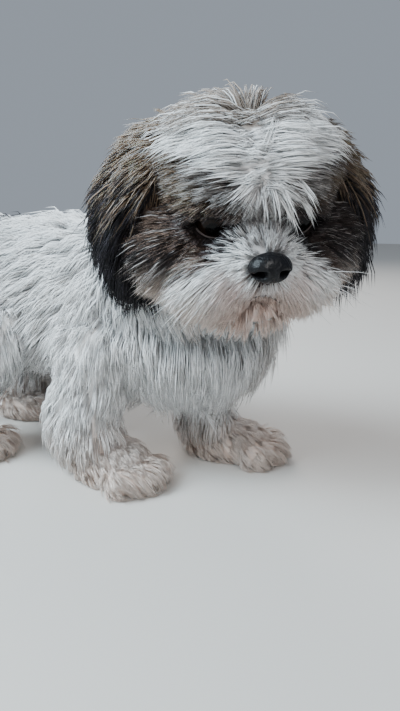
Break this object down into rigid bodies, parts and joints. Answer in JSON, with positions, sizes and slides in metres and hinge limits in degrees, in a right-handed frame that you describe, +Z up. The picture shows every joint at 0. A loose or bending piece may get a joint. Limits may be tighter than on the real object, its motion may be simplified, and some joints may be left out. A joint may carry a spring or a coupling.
{
  "type": "shih tzu puppy",
  "caption": "Life-size young shih tzu puppy standing on all four paws with its head lowered and turned to its right, fluffy coat, hanging ears and short muzzle.",
  "frame": {"origin": "middle of the bounding box on the floor, under the belly", "axes": "+X to the puppy's left, -Y ahead of it, +Z up from the floor; +Y is the longest extent"},
  "size_m": [0.1426, 0.279, 0.1934],
  "materials": {
    "coat_white": "soft long fur, off-white with brown and black markings",
    "coat_dark": "soft long fur, tan to black",
    "coat_paw": "short fur, cream over pinkish skin",
    "eye": "wet dark eye",
    "nose": "damp black nose leather"
  },
  "bodies": {
    "root": {"head": "coat_white", "jaw": "coat_white", "nose": "nose", "eye_left": "eye", "eye_right": "eye", "ear_left": "coat_dark", "ear_right": "coat_dark", "neck": "coat_white", "torso": "coat_white", "tail": "coat_dark", "foreleg_left": "coat_white", "foreleg_right": "coat_white", "forepaw_left": "coat_paw", "forepaw_right": "coat_paw", "hindleg_left": "coat_white", "hindleg_right": "coat_white", "hindpaw_left": "coat_paw", "hindpaw_right": "coat_paw"}
  },
  "joints": []
}
